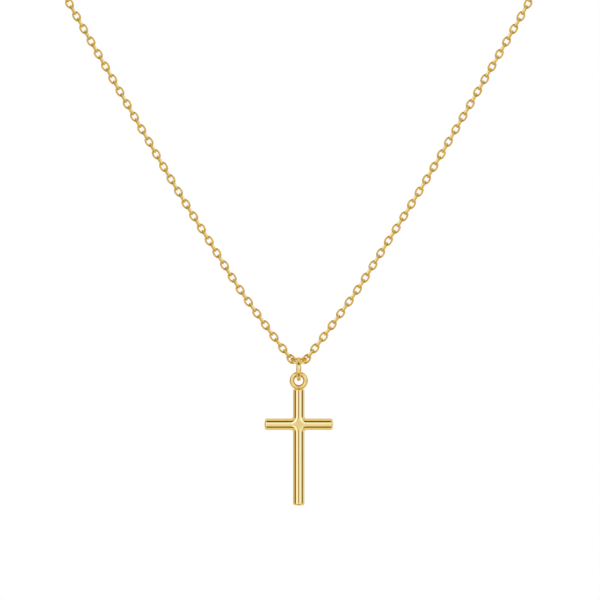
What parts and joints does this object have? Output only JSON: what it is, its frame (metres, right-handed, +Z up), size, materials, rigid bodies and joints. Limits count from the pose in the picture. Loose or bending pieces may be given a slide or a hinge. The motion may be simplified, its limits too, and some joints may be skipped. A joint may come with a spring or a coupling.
{
  "type": "cross pendant necklace",
  "caption": "Fine cable-link neck chain with a small plain cross of round rod, hung from its soldered eye on a jump ring.",
  "frame": {"origin": "middle of the clasp's ring, where the closed chain rests on the nape", "axes": "+Z up, +Y from the pendant towards the nape, +X to the right of a viewer who faces the pendant"},
  "size_m": [0.1156, 0.1005, 0.1396],
  "materials": {
    "polished_gold": "polished yellow gold",
    "chain_gold": "polished yellow gold wire"
  },
  "bodies": {
    "chain": {"middle_link": "chain_gold", "chain_front": "chain_gold", "chain_back": "chain_gold", "clasp": "polished_gold", "end_ring": "polished_gold"},
    "ring": {"jump_ring": "polished_gold"},
    "pendant": {"cross": "polished_gold"}
  },
  "joints": [
    {"name": "ring_swing", "type": "hinge", "parent": "chain", "child": "ring", "pos_m": [0, -0.09665, -0.11135], "axis": [1, 0, 0], "range_deg": [-60, 5]},
    {"name": "cross_swing", "type": "hinge", "parent": "ring", "child": "pendant", "pos_m": [0, -0.09665, -0.11407], "axis": [0, 1, 0], "range_deg": [-80, 80]}
  ]
}
